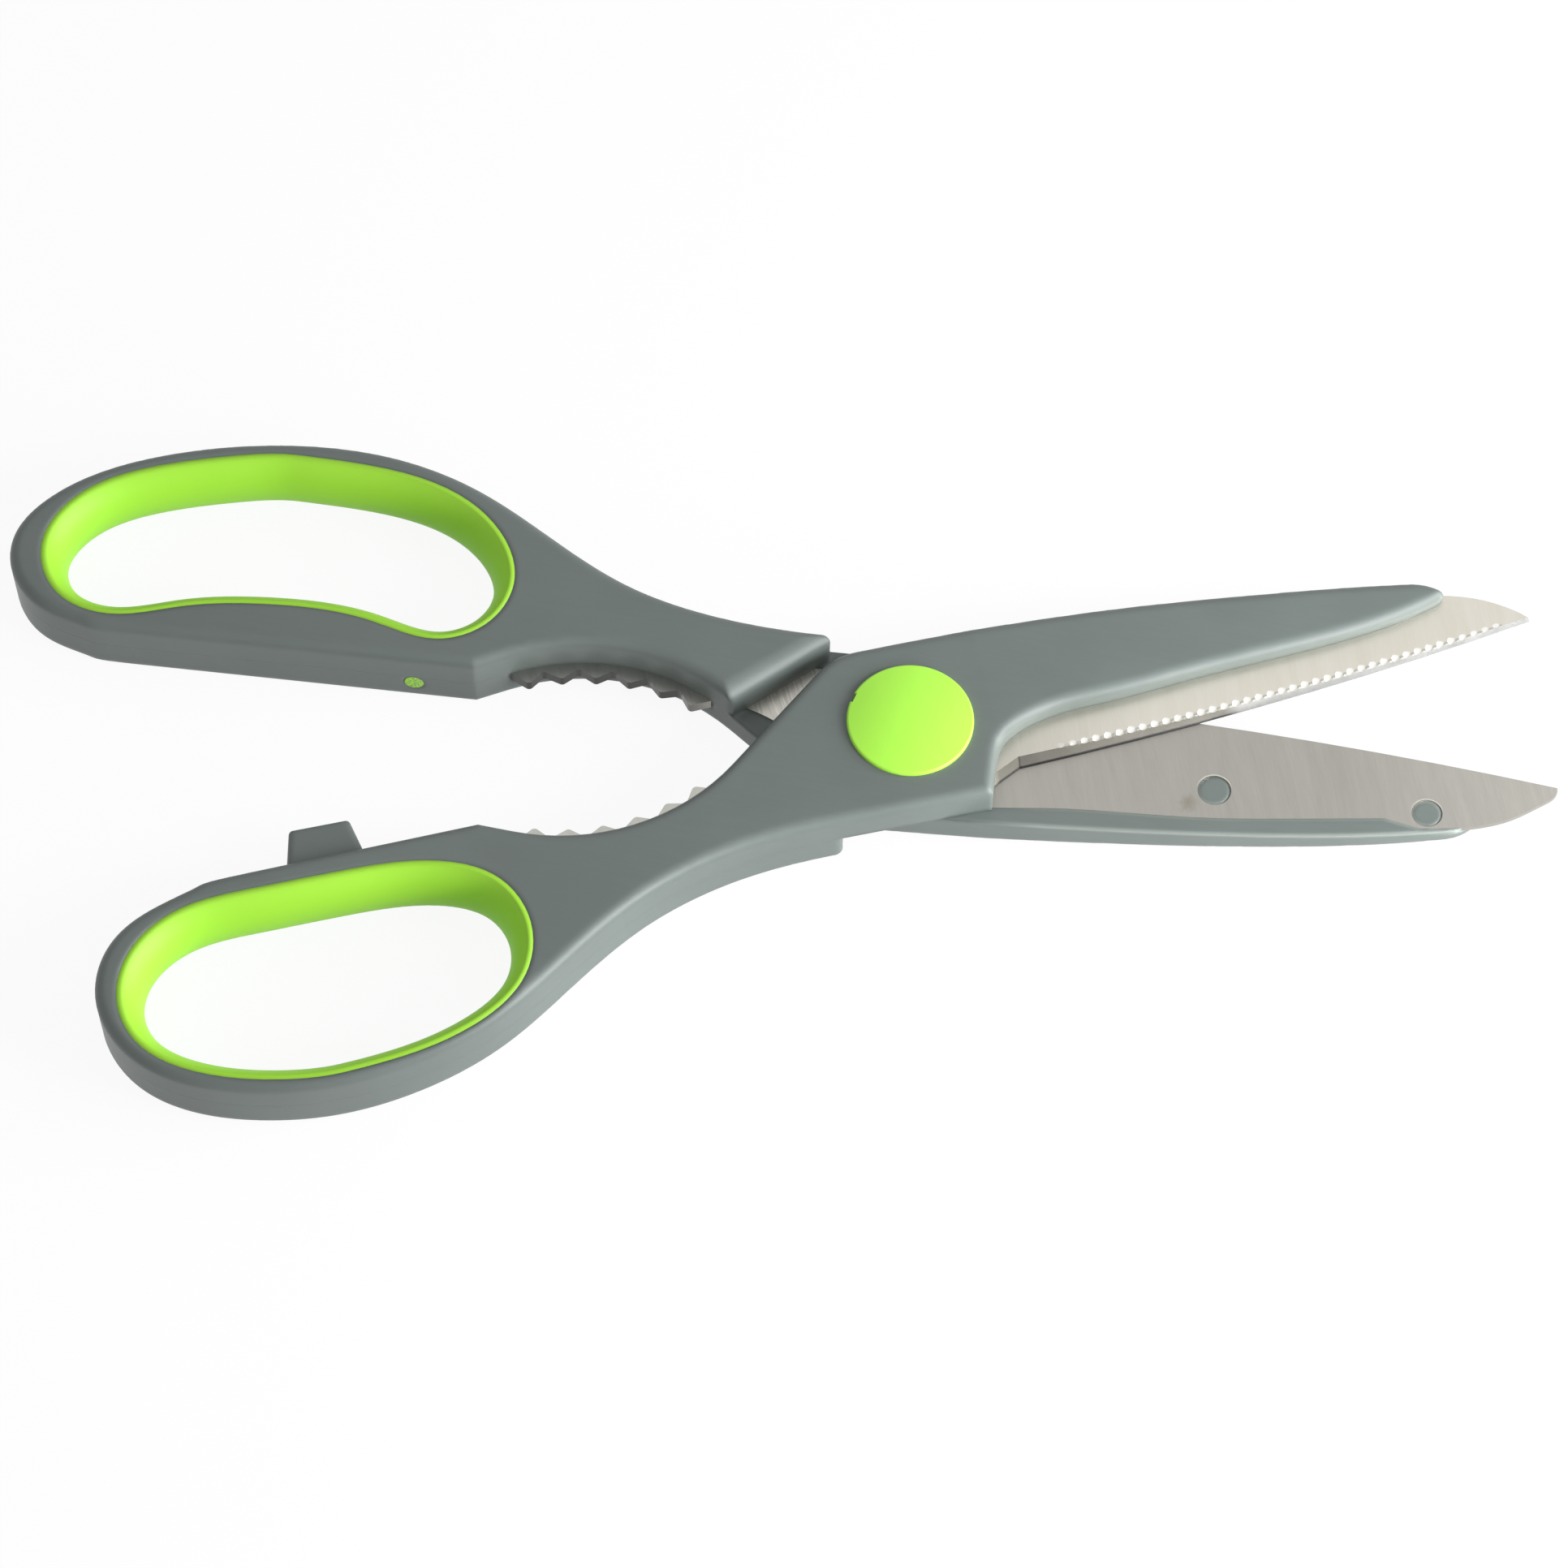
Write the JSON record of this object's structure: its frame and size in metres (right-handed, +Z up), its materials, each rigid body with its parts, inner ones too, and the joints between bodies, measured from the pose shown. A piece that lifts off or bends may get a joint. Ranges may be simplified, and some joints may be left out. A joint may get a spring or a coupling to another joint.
{
  "type": "kitchen shears",
  "caption": "Kitchen shears with moulded grey handles, soft green finger loops, steel blades in plastic covers, a toothed nutcracker section and a capped pivot.",
  "frame": {"origin": "on the pivot's axis, in the plane that the shears lie on", "axes": "+X from the pivot towards the blade tips, +Z up out of the resting plane along the pivot's axis, +Y towards the side of the large finger loop"},
  "size_m": [0.2224, 0.106, 0.0123],
  "materials": {
    "moulded_grey": "fine satin moulding",
    "soft_green": "soft matt thermoplastic rubber",
    "cap_green": "satin moulded plastic",
    "blade_steel": "fine ground stainless steel",
    "pivot_steel": "turned steel"
  },
  "bodies": {
    "lower_half": {"large_handle": "moulded_grey", "lower_blade": "blade_steel", "large_grip": "soft_green", "pivot_bolt": "pivot_steel", "spring_washer": "pivot_steel", "pivot_nut": "pivot_steel", "rear_cap": "moulded_grey"},
    "upper_half": {"small_handle": "moulded_grey", "upper_blade": "blade_steel", "small_grip": "soft_green", "front_cap": "cap_green"}
  },
  "joints": [
    {"name": "blade_pivot", "type": "hinge", "parent": "lower_half", "child": "upper_half", "pos_m": [0, 0, 0], "axis": [0, 0, 1], "range_deg": [-18.3, 66.5]}
  ]
}
